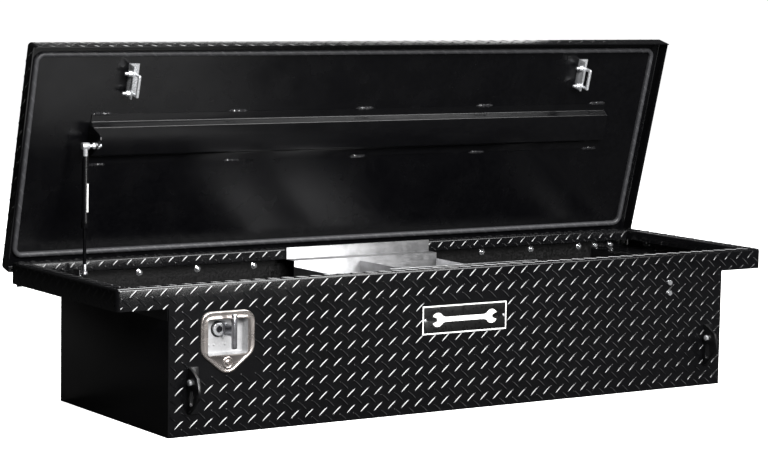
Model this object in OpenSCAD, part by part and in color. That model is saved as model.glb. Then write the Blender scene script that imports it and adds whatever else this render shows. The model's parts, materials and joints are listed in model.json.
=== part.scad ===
// Crossover truck tool box: a T-shaped tread plate box that hangs between the bed rails,
// with a gasketed lid on a continuous hinge, one gas strut, two rotary latches and a tray.
// X runs along the box, -Y is the front with the handle, +Z is up, the bottom is z = 0.

/* [Box] */
// Length of the rim, wing tip to wing tip
rim_l = 1762; // [1740:2:1768]
// Length of the body that hangs between the bed rails
body_l = 1516; // [1510:2:1522]
// Depth from front to back
box_d = 518; // [514:1:522]
// Height of the rim's top face
rim_h = 325; // [324:0.5:326]
// Height of the rim's outer skirt at the wings
skirt_h = 48; // [46:1:50]
// Width of the rim's top flange
flange_w = 32; // [31:0.5:33]
// Depth of the lip turned down inside the rim
lip_h = 25; // [20:1:26]
// Thickness of the tread plate
plate_t = 2.5; // [2:0.5:3]
// Thickness of the sprayed lining
liner_t = 1.2; // [0.8:0.2:1.6]

/* [Lid] */
// Length of the lid
lid_l = 1778; // [1770:2:1790]
// Depth of the lid's front flange
lid_front_h = 40; // [34:1:42]
// Height of the lid's top face above the hinge pin
lid_rise = 32.5; // [32:0.5:33]
// Angle at which the gas strut holds the lid open
open_a = 75; // [60:1:80]
// Width of the bulb seal
seal_w = 12; // [10:1:12]

/* [Latches] */
// Handle spindle's place along the box
spindle_x = -627; // [-630:1:-624]
// Handle spindle's height
spindle_z = 223; // [222:0.5:224]
// Left striker bar's place along the box
bar_left = -627; // [-629:1:-625]
// Right striker bar's place along the box
bar_right = 643; // [641:1:645]
// Turn of a latch pawl from released to engaged
pawl_turn = 26; // [24:1:26]

/* [Tray] */
// Length of the tray
tray_l = 408; // [300:4:500]
// Place of the tray's middle along the box
tray_x = 21; // [-100:1:100]
// Height of the tray's floor
tray_z = 228; // [226:1:240]
// Thickness of the tray's sheet
tray_t = 1.6; // [1.2:0.2:2]

/* [Hidden] */
hx = rim_l / 2;
bx = body_l / 2;
hy = box_d / 2;
wing_z = rim_h - skirt_h;
lip_z = rim_h - lip_h;
lip_y = hy - flange_w;
lip_x = hx - flange_w;

// Hinge: one pin behind the back panel, knuckles shared in turn by the two leaves
pin_y = hy + 5;
pin_z = rim_h - 20;
pin_r = 2.4;
knuckle_r = 4.5;
knuckle_pitch = 51;
knuckle_n = 34;
knuckle_gap = 0.4;
leaf_t = 1.8;
hinge_bolt_z = pin_z - 19.5;
hinge_bolt_x = [102, 255, 408, 561, 714, 768, 818];
lid_rivet_z = 16;
lid_rivet_pitch = 102;

// Lid, in closed position and measured from the hinge pin
lid_x = lid_l / 2;
lid_front_y = -(2 * hy + 9.5);
lid_back_y = 5.5;
lid_in_z = lid_rise - plate_t;
seal_x = 870;
seal_front_y = -505;
seal_back_y = -20;
seal_r = 25;
seal_z = 21.9;
hat_x = [-711, 745];
ball_y = -296;
ball_z = -10;
ear_t = 3;
strike_y = [-457.5, -411];
strike_bolt_z = 12;
strike_bar_z = -14;
wire_r = 4;
thread_r = 3.5;

// Latch mechanism, at the height of the caught striker bar
bar_z = pin_z + strike_bar_z;
fork_y = [-178, -172];
pivot_r = 4;
fork_p = [20, 0];
pawl_q = [38, -41];
pawl_arm = 39;
lever_r = 12;
rod_y = [-188, -184];
rod_z = 211;
running = 0.05;

// Dish and handle
dish_x = -616.5;
dish_t = 1.5;
recess = [-664, -566, 170, 247];
recess_y = -hy + 23;
hub_r = 14;
hub_y = -hy + 16;
lock_r = 7.5;
ear_x = 11.5;
stub_y = -hy + 12;
stem_half = 12;
grip_arm = 38;
grip_half = 32;
grip_r = 5.5;

// Name plate, tie-down brackets and slave latch bolts
name_size = [232, 66];
name_z = 210;
tie_x = 709;
tie_z = [48, 149];
slave_x = 596;
slave_z = [232, 257];

// Gas strut: lower ball on the left ledge, upper ball on the lid
strut_x = -738;
low_y = 181;
low_z = 300;
up_y = pin_y + ball_y * cos(open_a) + ball_z * sin(open_a);
up_z = pin_z - ball_y * sin(open_a) + ball_z * cos(open_a);
strut_len = norm([up_y - low_y, up_z - low_z]);
strut_tilt = atan2(low_y - up_y, up_z - low_z);
tube_r = 7.5;
rod_r = 4;
strut_ball_r = 5;
tube_from = 103;
tube_to = 266;

$fn = 32;

// ---- helpers ----

module block(x0, x1, y0, y1, z0, z1) {
    translate([x0, y0, z0]) cube([x1 - x0, y1 - y0, z1 - z0]);
}

module along_x(x0, x1, r, y = 0, z = 0, sides = 32) {
    translate([x0, y, z]) rotate([0, 90, 0]) cylinder(h = x1 - x0, r = r, $fn = sides);
}

module along_y(y0, y1, r, x = 0, z = 0, sides = 32) {
    translate([x, y0, z]) rotate([-90, 0, 0]) cylinder(h = y1 - y0, r = r, $fn = sides);
}

// A flat shape drawn in X and Z, given a thickness along Y
module slab_y(y0, y1) {
    translate([0, y1, 0]) rotate([90, 0, 0]) linear_extrude(y1 - y0) children();
}

// A flat shape drawn in Y and Z, given a thickness along X
module slab_x(x0, x1) {
    translate([x0, 0, 0]) rotate([90, 0, 90]) linear_extrude(x1 - x0) children();
}

module round_rect(x0, x1, y0, y1, r) {
    translate([x0 + r, y0]) square([x1 - x0 - 2 * r, y1 - y0]);
    translate([x0, y0 + r]) square([x1 - x0, y1 - y0 - 2 * r]);
    for (x = [x0 + r, x1 - r], y = [y0 + r, y1 - r]) translate([x, y]) circle(r);
}

// Pie slice between two angles, counted from +X
module slice(r, a0, a1) {
    steps = 6;
    polygon(concat([[0, 0]], [for (i = [0:steps])
        let (a = a0 + (a1 - a0) * i / steps) [r * cos(a), r * sin(a)]]));
}

module on_lid() {
    translate([0, pin_y, pin_z]) rotate([-open_a, 0, 0]) children();
}

module on_strut() {
    translate([strut_x, low_y, low_z]) rotate([strut_tilt, 0, 0]) children();
}

// ---- box shell ----

// Front or back wall: one T-shaped sheet with the rim's flange and lip bent at its top
module wall() {
    block(-bx, bx, -hy, -hy + plate_t, 0, rim_h);
    block(-hx, hx, -hy, -hy + plate_t, wing_z, rim_h);
    block(-hx, hx, -hy + plate_t, -lip_y, rim_h - plate_t, rim_h);
    block(-lip_x - plate_t, lip_x + plate_t, -lip_y - plate_t, -lip_y, lip_z, rim_h - plate_t);
}

module front_panel() {
    color("#1b1b1d") difference() {
        wall();
        block(recess[0] - 3, recess[1] + 3, -hy - 1, -hy + plate_t + 1, recess[2] - 3, recess[3] + 3);
        for (z = slave_z) along_y(-hy - 1, -hy + plate_t + 1, 3, slave_x, z);
        along_y(-hy - 1, -hy + plate_t + 1, 3, dish_x, 153);
    }
}

module back_panel() {
    color("#1b1b1d") difference() {
        mirror([0, 1, 0]) wall();
        for (s = [-1, 1], x = hinge_bolt_x)
            along_y(hy - plate_t - 1, hy + 1, 3, s * x, hinge_bolt_z);
    }
}

module end_rim(side) {
    color("#1b1b1d") mirror([side < 0 ? 1 : 0, 0, 0]) {
        block(hx - plate_t, hx, -hy + plate_t, hy - plate_t, wing_z, rim_h - plate_t);
        block(lip_x, hx, -lip_y, lip_y, rim_h - plate_t, rim_h);
        block(lip_x, lip_x + plate_t, -lip_y, lip_y, lip_z, rim_h - plate_t);
    }
}

// Underside of a wing, which rests on the bed rail, with a flange down the side panel
module ledge(side) {
    color("#18181a") mirror([side < 0 ? 1 : 0, 0, 0]) {
        block(bx - plate_t, hx - plate_t, -hy + plate_t, hy - plate_t, wing_z, wing_z + plate_t);
        block(bx, bx + 2, -hy + plate_t, hy - plate_t, wing_z - 27.5, wing_z);
    }
}

module side_panel(side) {
    color("#18181a") mirror([side < 0 ? 1 : 0, 0, 0])
        block(bx - plate_t, bx, -hy + plate_t, hy - plate_t, plate_t, wing_z);
}

module floor_panel() {
    color("#18181a") block(-bx, bx, -hy + plate_t, hy - plate_t, 0, plate_t);
}

module box_liner() {
    x1 = bx - plate_t;
    y1 = hy - plate_t;
    color("#232324") difference() {
        union() {
            block(-x1, x1, -y1, y1, plate_t, wing_z - 1);
            block(-x1, x1, -y1, -y1 + liner_t, plate_t, lip_z - 1);
            block(-x1, x1, y1 - liner_t, y1, plate_t, lip_z - 1);
        }
        block(-x1 + liner_t, x1 - liner_t, -y1 + liner_t, y1 - liner_t, plate_t + liner_t, rim_h);
        block(recess[0] - 3, recess[1] + 3, -hy, -y1 + liner_t + 1, recess[2] - 3, recess[3] + 3);
        for (z = slave_z) along_y(-hy, -y1 + liner_t + 1, 3, slave_x, z);
        along_y(-hy, -y1 + liner_t + 1, 3, dish_x, 153);
        for (s = [-1, 1], x = hinge_bolt_x) along_y(y1 - liner_t - 1, y1 + 1, 3, s * x, hinge_bolt_z);
    }
}

// ---- hinge ----

module knuckles(first, bore) {
    for (i = [first:2:knuckle_n - 1]) {
        x0 = (i - knuckle_n / 2) * knuckle_pitch + knuckle_gap / 2;
        difference() {
            children();
            block(-2000, x0, -50, 50, -50, 50);
            block(x0 + knuckle_pitch - knuckle_gap, 2000, -50, 50, -50, 50);
            along_x(-1000, 1000, bore);
        }
    }
}

module hinge_box_leaf() {
    half = knuckle_n * knuckle_pitch / 2;
    color("#2a2a2c") translate([0, pin_y, pin_z]) {
        difference() {
            block(-half, half, -5, -5 + leaf_t, -37, -5);
            for (s = [-1, 1], x = hinge_bolt_x)
                along_y(-6, 0, 3, s * x, hinge_bolt_z - pin_z);
        }
        knuckles(0, pin_r) union() {
            along_x(-half, half, knuckle_r);
            block(-half, half, -5, -5 + leaf_t, -5, 0);
        }
    }
}

module hinge_lid_leaf() {
    half = knuckle_n * knuckle_pitch / 2;
    color("#2a2a2c") on_lid() {
        difference() {
            block(-half, half, 1.4, 3, 5, 25);
            lid_rivet_holes();
        }
        knuckles(1, pin_r + running) union() {
            along_x(-half, half, knuckle_r);
            block(-half, half, 1.4, 3, 0, 5);
        }
    }
}

module hinge_pin() {
    half = knuckle_n * knuckle_pitch / 2 + 1;
    color("#8d8f92") along_x(-half, half, pin_r, pin_y, pin_z);
}

// Screw head outside, lock nut and washer inside, all along the box leaf
module hinge_bolts() {
    color("#b9bcc0") for (s = [-1, 1], x = hinge_bolt_x) {
        lining = x < bx ? liner_t : 0;
        inner = hy - plate_t - lining;
        along_y(inner - 7, hy + leaf_t + 2.4, 3, s * x, hinge_bolt_z);
        along_y(hy + leaf_t, hy + leaf_t + 2.4, 5.5, s * x, hinge_bolt_z);
        along_y(inner - 1.5, inner, x < bx ? 8 : 5.6, s * x, hinge_bolt_z);
        along_y(inner - 6, inner - 1.5, 5.6, s * x, hinge_bolt_z, 6);
    }
}

module lid_rivet_places() {
    for (i = [-8.5:1:8.5]) translate([i * lid_rivet_pitch, 0, lid_rivet_z]) children();
}

module lid_rivet_holes() {
    lid_rivet_places() along_y(0, 10, 2.4);
}

module lid_hinge_rivets() {
    color("#3a3a3c") on_lid() lid_rivet_places() {
        along_y(0.6, lid_back_y + 1.4, 2.4);
        along_y(lid_back_y, lid_back_y + 1.4, 4.6);
        along_y(0.4, 1.4, 4.2);
    }
}

// ---- outside fittings ----

module name_plate() {
    color("#e8e8e6") difference() {
        slab_y(-hy - 1.2, -hy)
            round_rect(-name_size[0] / 2, name_size[0] / 2, name_z - name_size[1] / 2,
                name_z + name_size[1] / 2, 4);
        for (s = [-1, 1]) along_y(-hy - 2, -hy + 1, 2, s * 108, name_z);
    }
}

module name_plate_rivets() {
    color("#c8cacd") for (s = [-1, 1]) {
        along_y(-hy - 2.2, -hy, 2, s * 108, name_z);
        along_y(-hy - 2.2, -hy - 1.2, 3.4, s * 108, name_z);
    }
}

// Upright lug plate with a slot, on a base flange against the front panel
module tie_down_brackets() {
    color("#1a1a1b") for (s = [-1, 1]) translate([s * tie_x, -hy, 0]) {
        difference() {
            slab_x(-3, 3) polygon([[0, tie_z[0]], [-12, tie_z[0] + 6], [-48, 88], [-50, 96],
                [-47, 116], [-41, 130], [-12, tie_z[1] - 2], [0, tie_z[1]]]);
            slab_x(-4, 4) union() {
                translate([-24, 74]) square([14, 22]);
                for (z = [74, 96]) translate([-17, z]) circle(7);
            }
            along_x(-4, 4, 4, -15, 118);
        }
        block(3, 21, -4, 0, tie_z[0], tie_z[1]);
    }
}

module tie_down_bolts() {
    color("#2c2c2e") for (s = [-1, 1]) translate([s * tie_x, -hy - 15, 118]) {
        along_x(-7, 8, 4);
        along_x(-9, -3, 7, 0, 0, 6);
        along_x(3, 8, 6.5, 0, 0, 6);
    }
}

// ---- handle and latches ----

// Shield-shaped outline of the dish
module dish_outline(grow = 0) {
    half = 66.5 + grow;
    r = 14;
    top = 265 + grow;
    tip = 128.5 - grow;
    translate([dish_x, 0]) union() {
        for (s = [-1, 1]) translate([s * (half - r), top - r]) circle(r);
        translate([-half + r, top - 2 * r]) square([2 * half - 2 * r, 2 * r]);
        polygon([[-half, top - r], [-half, 174], [-half + 8, 164], [-14, tip + 6], [0, tip],
            [14, tip + 6], [half - 8, 164], [half, 174], [half, top - r]]);
    }
}

module latch_dish() {
    t = dish_t;
    color("#c9ccd0") difference() {
        union() {
            slab_y(-hy - t, -hy) dish_outline();
            slab_y(-hy - t - 2.5, -hy - t) difference() {
                dish_outline();
                dish_outline(-5);
            }
            block(recess[0] - t, recess[1] + t, -hy, recess_y + t, recess[2] - t, recess[3] + t);
        }
        block(recess[0], recess[1], -hy - 10, recess_y, recess[2], recess[3]);
        along_y(recess_y - 1, recess_y + t + 1, 6 + running, spindle_x, spindle_z);
        along_y(-hy - 10, -hy + 1, 3, dish_x, 153);
    }
}

module dish_bolt() {
    color("#c2c5c9") {
        along_y(-hy - 4.5, -hy + 16, 3, dish_x, 153);
        along_y(-hy - 4.5, -hy - dish_t, 9, dish_x, 153);
        along_y(-hy + plate_t + liner_t, -hy + plate_t + liner_t + 5, 6, dish_x, 153, 6);
    }
}

// Hub disc at the bottom of the recess, with two ears for the handle and the spindle behind
module handle_hub() {
    x = spindle_x + ear_x;
    z = spindle_z;
    color("#aeb2b7") difference() {
        union() {
            along_y(hub_y, recess_y - 0.5, hub_r, spindle_x, z);
            along_y(recess_y - 0.5, rod_y[0] - 2, 6, spindle_x, z);
            for (s = [-1, 1]) translate([x, 0, z + s * (stem_half + 2)]) {
                block(-4, 4, stub_y, recess_y - 0.5, -1.6, 1.6);
                translate([0, stub_y, -1.6]) cylinder(h = 3.2, r = 4);
            }
            translate([x, stub_y, z - stem_half - 3.6]) cylinder(h = 2 * stem_half + 7.2, r = 2);
        }
        along_y(hub_y - 1, hub_y + 5, lock_r + running, spindle_x, z);
    }
}

module lock_cylinder() {
    color("#d5d7da") difference() {
        along_y(hub_y, hub_y + 4.8, lock_r, spindle_x, spindle_z);
        block(spindle_x - 0.8, spindle_x + 0.8, hub_y - 1, hub_y + 3, spindle_z - 4, spindle_z + 4);
    }
}

// T grip on a flat stem; it swings on the hub's pin to fold into the recess
module t_handle() {
    h = stem_half;
    color("#b9bdc2") translate([spindle_x + ear_x, stub_y, spindle_z]) {
        difference() {
            union() {
                translate([0, 0, -h]) cylinder(h = 2 * h, r = 3.8);
                block(-2.2, 2.2, -grip_arm, 0, -h, h);
            }
            translate([0, 0, -h - 1]) cylinder(h = 2 * h + 2, r = 2 + running);
        }
        translate([0, -grip_arm, -grip_half]) cylinder(h = 2 * grip_half, r = grip_r);
        for (s = [-1, 1]) translate([0, -grip_arm, s * grip_half]) sphere(grip_r);
    }
}

// Arm behind the dish that turns with the spindle and shifts the connecting rod
module spindle_lever() {
    color("#8f9398") {
        slab_y(rod_y[0] - 6, rod_y[0] - 2) difference() {
            union() {
                translate([spindle_x, spindle_z]) circle(10);
                translate([spindle_x, spindle_z]) rotate(-45) translate([0, -5]) square([lever_r, 10]);
                translate([spindle_x, spindle_z]) rotate(-45) translate([lever_r, 0]) circle(5);
            }
            translate([spindle_x, spindle_z]) circle(6);
        }
        translate([spindle_x, 0, spindle_z]) rotate([0, 45, 0]) translate([-spindle_x, 0, 0])
            along_y(rod_y[0] - 2, rod_y[1] + 1, 2.5, spindle_x + lever_r, 0);
    }
}

// Places a flat latch shape that is drawn to the right of its striker bar
module at_bar(x) {
    translate([x, 0, bar_z]) mirror([1, 0, 0]) children();
}

module housing(x) {
    color("#a9adb2") at_bar(x) {
        for (y = [fork_y[0] - 3, fork_y[1] + 1]) slab_y(y, y + 2) difference() {
            union() {
                translate([-12, -52]) square([70, 55]);
            }
            translate([-6, -7]) square([12, 20]);
            translate(fork_p) circle(pivot_r);
            translate(pawl_q) circle(pivot_r);
        }
        for (p = [fork_p, pawl_q]) along_y(fork_y[0] - 4, fork_y[1] + 4, pivot_r, p[0], p[1]);
        for (p = [[52, -6], [-6, -46]]) along_y(fork_y[0] - 1, fork_y[1] + 1, 3, p[0], p[1]);
    }
}

// Toothed fork, mouth up when open; the jaw swings over the bar as it turns
module fork(x) {
    color("#7f8388") at_bar(x) slab_y(fork_y[0], fork_y[1]) difference() {
        translate(fork_p) union() {
            circle(13);
            slice(26, 97, 117.6);
            slice(28, 192.6, 232);
            slice(22, 270, 295);
        }
        translate(fork_p) circle(pivot_r + running);
    }
}

// Pawl: its tip blocks the fork's tooth, its tail is moved by the connecting rod
module pawl(x) {
    color("#7f8388") at_bar(x) translate([pawl_q[0], 0, pawl_q[1]]) rotate([0, pawl_turn, 0]) {
        slab_y(fork_y[0], fork_y[1]) difference() {
            union() {
                circle(7);
                difference() {
                    translate(fork_p - pawl_q) slice(25, 299.5, 317);
                    translate(fork_p - pawl_q) circle(15);
                }
                polygon([[-6.5, 21], [-6, 0], [6, 0], [1, 24]]);
                translate([-4, -pawl_arm]) square([8, pawl_arm]);
                translate([0, -pawl_arm]) circle(5);
            }
            circle(pivot_r + running);
        }
        along_y(rod_y[0] - 1, fork_y[0], 2.5, 0, -pawl_arm);
    }
}

// Where a pawl's pin stands along the box while the pawl is released
function pawl_pin_x(x) = x - pawl_q[0] + pawl_arm * sin(pawl_turn);

module connecting_rod() {
    x0 = pawl_pin_x(bar_left);
    x1 = pawl_pin_x(bar_right);
    xs = spindle_x + lever_r * cos(45);
    slot_r = 3.4;
    color("#94989d") slab_y(rod_y[0], rod_y[1]) difference() {
        union() {
            translate([x0 - 9, rod_z - 5]) square([x1 - x0 + 18, 10]);
            for (x = [x0, xs, x1]) translate([x - 9, rod_z - 9]) square([18, 22]);
        }
        for (x = [x0, xs, x1]) {
            translate([x - slot_r, rod_z - 2]) square([2 * slot_r, 8]);
            for (z = [-2, 6]) translate([x, rod_z + z]) circle(slot_r);
        }
    }
}

// Steel bracket from the front panel back to a latch housing
module latch_bracket(x0, z0, z1) {
    y0 = -hy + plate_t + liner_t;
    block(x0, x0 + 32, y0, y0 + 2.5, z0, z1);
    block(x0 + 32, x0 + 34.5, y0, fork_y[0] - 3, max(z0, bar_z - 50), min(z1, bar_z - 4));
}

module right_latch_bracket() {
    color("#a9adb2") difference() {
        latch_bracket(580, 222, 270);
        for (z = slave_z) along_y(-hy, -hy + 10, 3, slave_x, z);
    }
}

module left_latch_bracket() {
    color("#a9adb2") latch_bracket(-687, 254, 298);
}

module slave_latch_bolts() {
    y0 = -hy + plate_t + liner_t + 2.5;
    color("#d3d5d8") for (z = slave_z) {
        along_y(-hy - 4, y0 + 7, 3, slave_x, z);
        along_y(-hy - 4, -hy, 6, slave_x, z);
        along_y(y0, y0 + 5, 5.8, slave_x, z, 6);
    }
}

// ---- lid ----

module lid_pan() {
    t = plate_t;
    z1 = lid_rise;
    z0 = lid_in_z;
    color("#1c1c1e") on_lid() difference() {
        union() {
            block(-lid_x, lid_x, lid_front_y, lid_back_y, z0, z1);
            block(-lid_x, lid_x, lid_front_y, lid_front_y + 2, z1 - lid_front_h, z0);
            block(-lid_x, lid_x, lid_back_y - t, lid_back_y, 5, z0);
            for (x = [-lid_x, lid_x - t]) block(x, x + t, lid_front_y + 2, lid_back_y - t, 0, z0);
        }
        lid_rivet_holes();
    }
}

module lid_seal() {
    w = seal_w;
    color("#3a3a3c") on_lid() translate([0, 0, seal_z]) linear_extrude(lid_in_z - seal_z)
        difference() {
            round_rect(-seal_x, seal_x, seal_front_y, seal_back_y, seal_r);
            round_rect(-seal_x + w, seal_x - w, seal_front_y + w, seal_back_y - w, seal_r - w + 2);
        }
}

// Hat-shaped stiffener welded to the inside of the lid
module lid_stiffener() {
    z = lid_in_z;
    color("#1e1e20") on_lid() slab_x(hat_x[0], hat_x[1]) polygon([[-357, z], [-357, z - 2],
        [-339, z - 2], [-332, 10], [-264, 10], [-257, z - 2], [-237, z - 2], [-237, z],
        [-258.5, z], [-265.5, 12], [-330.5, 12], [-337.5, z]]);
}

module strut_ear() {
    color("#1e1e20") on_lid() difference() {
        slab_x(hat_x[0] - ear_t, hat_x[0]) polygon([[-337, lid_in_z], [-331, 8], [-327, -20],
            [-323, -30], [-317, -34], [-308, -31], [-282, -8], [-265, 8], [-258, lid_in_z]]);
        along_x(hat_x[0] - ear_t - 1, hat_x[0] + 1, 4, ball_y, ball_z);
    }
}

// The stud ends just clear of the strut's socket, which swings past it
module strut_stud() {
    x = hat_x[0] - ear_t;
    color("#c4c7cb") on_lid() {
        along_x(strut_x + 8.4, hat_x[0] + 12, 4, ball_y, ball_z);
        along_x(x - 6, x, 7.5, ball_y, ball_z, 6);
        along_x(hat_x[0], hat_x[0] + 6.5, 7.5, ball_y, ball_z, 6);
    }
}

// Striker places: each bracket's web stands just left of its wire
module at_strikers() {
    for (x = [bar_left, bar_right]) translate([x, 0, 0]) children();
}

module striker_brackets() {
    web = -wire_r - 3;
    color("#c3c6ca") on_lid() at_strikers() difference() {
        union() {
            block(web, web + 26, -476, -400, lid_in_z - 3, lid_in_z);
            block(web, web + 3, -476, -400, 2, lid_in_z - 3);
        }
        for (y = strike_y) along_x(web - 1, web + 4, thread_r, y, strike_bolt_z);
    }
}

// Round wire bent to a U; its threaded ends turn through the bracket's web
module striker_wires() {
    color("#cfd2d6") on_lid() at_strikers() {
        for (y = strike_y) {
            translate([0, y, strike_bar_z]) cylinder(h = strike_bolt_z - strike_bar_z, r = wire_r);
            for (z = [strike_bar_z, strike_bolt_z]) translate([0, y, z]) sphere(wire_r);
            along_x(-24, 0, thread_r, y, strike_bolt_z);
        }
        along_y(strike_y[0], strike_y[1], wire_r, 0, strike_bar_z);
    }
}

module striker_nuts() {
    x = -wire_r - 3;
    color("#c9ccd0") on_lid() at_strikers() for (y = strike_y) difference() {
        union() {
            along_x(x - 1.5, x, 8, y, strike_bolt_z);
            along_x(x - 8, x - 1.5, 6.5, y, strike_bolt_z, 6);
        }
        along_x(x - 9, x + 1, thread_r, y, strike_bolt_z);
    }
}

// ---- gas strut ----

module strut_bracket() {
    z0 = wing_z + plate_t;
    x = -bx + plate_t;
    color("#b5b8bc") {
        block(x - 28, x, low_y - 16, low_y + 16, z0, z0 + 2.5);
        block(x - 2.5, x, low_y - 16, low_y + 16, z0 + 2.5, low_z + 11);
        along_x(x, strut_x, 3.5, low_y, low_z);
        along_x(x, x + 4, 6.5, low_y, low_z, 6);
        translate([strut_x, low_y, low_z]) sphere(strut_ball_r);
    }
}

module strut_rod_end() {
    color("#9da1a6") on_strut() difference() {
        union() {
            sphere(8.5);
            cylinder(h = 22, r = 5.5);
        }
        sphere(strut_ball_r + running);
        along_x(-12, 0, 4.7);
        translate([0, 0, 18]) cylinder(h = 10, r = rod_r);
    }
}

module strut_rod() {
    color("#55585c") on_strut() {
        translate([0, 0, 18]) cylinder(h = tube_from + 30 - 18, r = rod_r);
        translate([0, 0, tube_from + 20]) cylinder(h = 8, r = 6.2);
    }
}

module strut_tube() {
    color("#161618") on_strut() difference() {
        union() {
            translate([0, 0, tube_from]) cylinder(h = tube_to - tube_from, r = tube_r);
            translate([0, 0, tube_from]) cylinder(h = 16, r = tube_r + 0.8);
        }
        translate([0, 0, tube_from - 1]) cylinder(h = 20, r = rod_r + running);
        translate([0, 0, tube_from + 16]) cylinder(h = tube_to - tube_from - 22, r = 6.2 + running);
    }
}

module strut_tube_end() {
    color("#9da1a6") on_strut() {
        translate([0, 0, tube_to]) cylinder(h = strut_len - tube_to - 4, r = 5.5);
        along_x(-8, 8, 8, 0, strut_len);
    }
}

module strut_label() {
    color("#f0f0ee") on_strut() intersection() {
        difference() {
            translate([0, 0, 140]) cylinder(h = 64, r = tube_r + 0.3);
            translate([0, 0, 139]) cylinder(h = 66, r = tube_r);
        }
        block(1, 20, -20, 0, 130, 210);
    }
}

// ---- tray ----

// Sheet profile across the box: hook, face, shelf and wall at each side, and the floor
module tray_profile() {
    t = tray_t;
    shelf_z = lip_z - 1;
    face_y = lip_y - 1.8;
    wall_y = 190;
    for (s = [-1, 1]) mirror([s < 0 ? 1 : 0, 0]) {
        translate([face_y - t, rim_h + 1.4]) square([lip_y + 1.6 - face_y + t, t]);
        translate([face_y - t, shelf_z]) square([t, rim_h + 1.4 - shelf_z]);
        translate([wall_y - t, shelf_z]) square([face_y - wall_y + t, t]);
        translate([wall_y - t, tray_z]) square([t, shelf_z - tray_z]);
    }
    translate([-wall_y, tray_z]) square([2 * wall_y, t]);
}

module tray_pan() {
    color("#d9dbde") slab_x(tray_x - tray_l / 2, tray_x + tray_l / 2) tray_profile();
}

module tray_end_walls() {
    t = tray_t;
    color("#d9dbde") for (x = [tray_x - tray_l / 2, tray_x + tray_l / 2 - t])
        block(x, x + t, -190 + t, 190 - t, tray_z + t, 286);
}

module tray_divider() {
    t = tray_t;
    color("#d9dbde") {
        block(2, 2 + t, -190 + t, 190 - t, tray_z + t, 292);
        block(2 + t, 14, -190 + t, 190 - t, tray_z + t, tray_z + 2 * t);
    }
}

front_panel();
back_panel();
end_rim(-1);  // left_end_rim
end_rim(1);  // right_end_rim
ledge(-1);  // left_ledge
ledge(1);  // right_ledge
side_panel(-1);  // left_side_panel
side_panel(1);  // right_side_panel
floor_panel();
box_liner();
hinge_box_leaf();
hinge_pin();
hinge_bolts();
name_plate();
name_plate_rivets();
tie_down_brackets();
tie_down_bolts();
latch_dish();
dish_bolt();
left_latch_bracket();
right_latch_bracket();
slave_latch_bolts();
housing(bar_left);  // left_latch_housing
housing(bar_right);  // right_latch_housing
strut_bracket();
lid_pan();
lid_seal();
hinge_lid_leaf();
lid_hinge_rivets();
lid_stiffener();
strut_ear();
strut_stud();
striker_brackets();
striker_wires();
striker_nuts();
handle_hub();
spindle_lever();
t_handle();
lock_cylinder();
connecting_rod();
fork(bar_left);  // left_fork
fork(bar_right);  // right_fork
pawl(bar_left);  // left_pawl
pawl(bar_right);  // right_pawl
strut_rod();
strut_rod_end();
strut_tube();
strut_tube_end();
strut_label();
tray_pan();
tray_end_walls();
tray_divider();
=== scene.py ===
"""Looks of a crossover truck tool box: tread plate shell, gasketed lid, latches, strut and tray."""
import json
import math

import bmesh
import bpy
from mathutils import Matrix, Vector

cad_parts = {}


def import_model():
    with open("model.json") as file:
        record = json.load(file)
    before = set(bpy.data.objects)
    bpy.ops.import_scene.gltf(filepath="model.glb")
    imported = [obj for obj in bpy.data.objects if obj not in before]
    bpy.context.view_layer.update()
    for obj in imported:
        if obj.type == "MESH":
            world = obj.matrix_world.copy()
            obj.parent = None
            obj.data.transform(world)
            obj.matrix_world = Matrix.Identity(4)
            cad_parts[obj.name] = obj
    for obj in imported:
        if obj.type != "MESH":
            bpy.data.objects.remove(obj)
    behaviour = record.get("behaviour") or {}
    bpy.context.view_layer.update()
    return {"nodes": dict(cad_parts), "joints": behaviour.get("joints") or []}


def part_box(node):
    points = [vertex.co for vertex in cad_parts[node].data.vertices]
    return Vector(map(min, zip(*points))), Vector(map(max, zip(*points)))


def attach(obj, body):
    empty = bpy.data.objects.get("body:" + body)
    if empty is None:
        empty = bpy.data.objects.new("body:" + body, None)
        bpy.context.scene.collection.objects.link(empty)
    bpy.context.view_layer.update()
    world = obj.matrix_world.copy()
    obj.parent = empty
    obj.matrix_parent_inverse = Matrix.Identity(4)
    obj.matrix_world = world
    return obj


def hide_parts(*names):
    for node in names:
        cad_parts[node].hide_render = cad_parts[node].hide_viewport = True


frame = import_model()
NODES = frame["nodes"]
JOINTS = {j["name"]: j for j in frame["joints"]}
MM = 0.001

# ---- places and sizes, from the frame where it has them; the lid's are in its own closed frame ----

PLATE = 2.5 * MM
front_lo, front_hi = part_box("front_panel")
floor_lo, floor_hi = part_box("floor_panel")
HALF_L, HALF_D, RIM_Z = front_hi.x, -front_lo.y, front_hi.z
BODY_X = floor_hi.x
WING_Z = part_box("left_ledge")[1].z - PLATE
LIP_W = HALF_D + front_hi.y
LIP_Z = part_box("left_end_rim")[0].z + 23 * MM
RIM_R = 9 * MM
BEND_R = 5 * MM

PIN = Vector(JOINTS["lid_hinge"]["pos_m"])
OPEN = math.radians(JOINTS["lid_hinge"]["range_deg"][1])
LID = Matrix.Translation(PIN) @ Matrix.Rotation(-OPEN, 4, "X")
LID_RISE = 32.5 * MM
LID_IN = LID_RISE - PLATE
LID_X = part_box("lid_pan")[1].x
LID_FRONT, LID_BACK = -527.5 * MM, 5.5 * MM
LID_R = 9 * MM

# ---- materials ----


def material(name, color, rough, metal=0.0, spec=0.5):
    """Principled material; returns it with its node tree and shader."""
    mat = bpy.data.materials.new(name)
    mat.use_nodes = True
    tree = mat.node_tree
    shader = tree.nodes["Principled BSDF"]
    shader.inputs["Base Color"].default_value = (*color, 1)
    shader.inputs["Roughness"].default_value = rough
    shader.inputs["Metallic"].default_value = metal
    shader.inputs["Specular IOR Level"].default_value = spec
    return mat, tree, shader


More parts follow.
